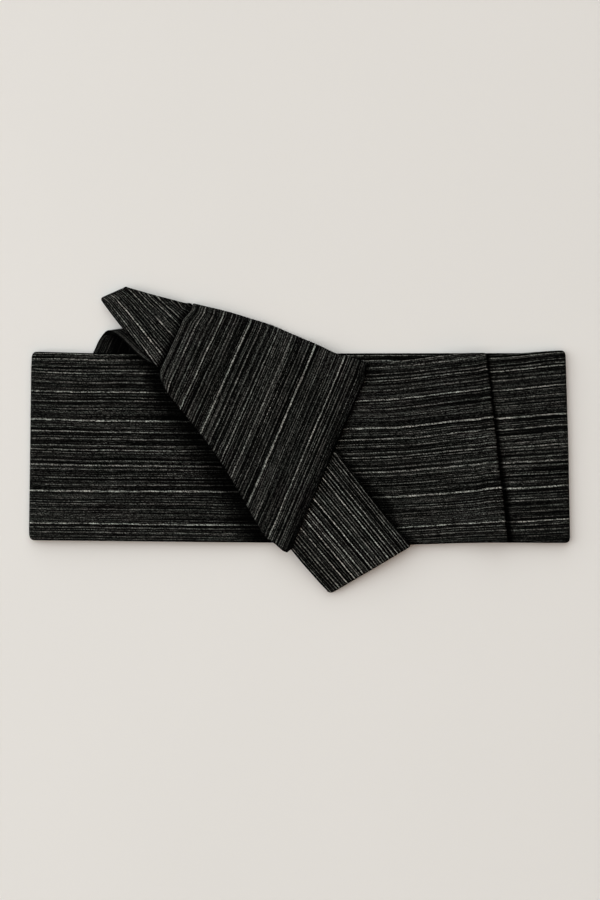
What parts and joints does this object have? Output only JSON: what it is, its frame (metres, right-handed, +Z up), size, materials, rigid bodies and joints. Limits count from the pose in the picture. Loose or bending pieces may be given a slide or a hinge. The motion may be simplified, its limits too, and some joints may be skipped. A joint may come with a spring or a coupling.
{
  "type": "obi sash",
  "caption": "Striped cloth obi sash wound round a waist-sized loop, tied in a clam's mouth knot and laid flat.",
  "frame": {"origin": "middle of the laid-out sash's box, on the surface it rests on", "axes": "+X along the band from its left end fold to its right end fold, +Y across the band towards the tare tip, +Z up out of the surface, from the underside towards the knot"},
  "size_m": [0.4587, 0.2607, 0.0197],
  "materials": {
    "obi_cloth": "firm plain weave with fine irregular lengthwise stripes in greys, low sheen",
    "obi_cloth_inner": "the same striped cloth in the hidden layers, low sheen"
  },
  "bodies": {
    "root": {"wrap_back": "obi_cloth", "wrap_inner": "obi_cloth_inner", "wrap_left_front": "obi_cloth", "wrap_right_front": "obi_cloth", "wrap_outer_front": "obi_cloth", "knot_panel": "obi_cloth", "te_loop": "obi_cloth", "te_tail": "obi_cloth", "tare_tip": "obi_cloth", "knot_core": "obi_cloth_inner"}
  },
  "joints": []
}
